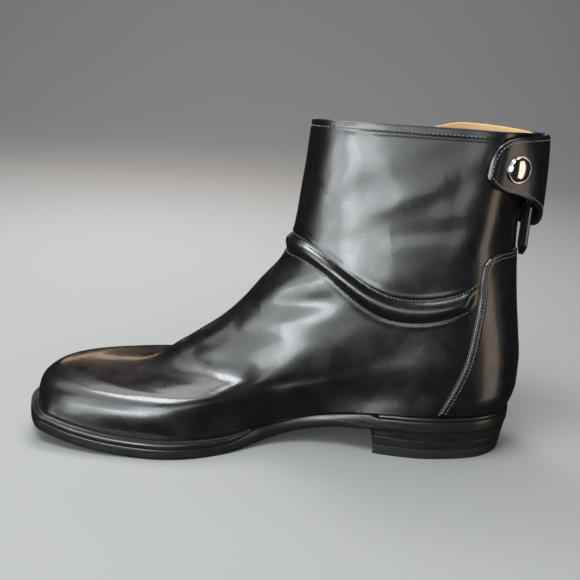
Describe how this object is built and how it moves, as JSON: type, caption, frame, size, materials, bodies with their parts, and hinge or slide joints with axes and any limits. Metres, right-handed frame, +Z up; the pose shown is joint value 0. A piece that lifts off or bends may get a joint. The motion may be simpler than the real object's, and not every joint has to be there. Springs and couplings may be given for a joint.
{
  "type": "leather ankle boot",
  "caption": "Right leather ankle boot with a welted sole, stacked heel, padded ankle roll, back zip and a snap strap across the collar.",
  "frame": {"origin": "floor point under the middle of the box round the boot", "axes": "+X from toe to heel, +Z up, -Y the inner side of the right foot"},
  "size_m": [0.2856, 0.1062, 0.1862],
  "materials": {
    "black_calf": "polished smooth black leather",
    "sole_edge": "waxed black sole leather",
    "top_lift_rubber": "matt black rubber",
    "tan_lining": "smooth tan lining leather",
    "polished_steel": "polished",
    "zip_metal": "dark plated"
  },
  "bodies": {
    "boot": {"outsole": "sole_edge", "welt": "sole_edge", "heel_rand": "sole_edge", "top_lift": "top_lift_rubber", "heel_lift_lower": "sole_edge", "heel_lift_upper": "sole_edge", "upper": "black_calf", "insole": "tan_lining", "back_counter": "black_calf", "ankle_roll": "black_calf", "closing_strap": "black_calf", "snap_cap": "polished_steel", "snap_stud": "polished_steel", "zip_chain": "zip_metal", "zip_slider": "zip_metal"},
    "pull": {"pull_tongue": "zip_metal", "pull_tab": "black_calf"}
  },
  "joints": [
    {"name": "pull_swing", "type": "hinge", "parent": "boot", "child": "pull", "pos_m": [0.13515, 0.00053, 0.1475], "axis": [0, -1, 0], "range_deg": [-1, 10]}
  ]
}
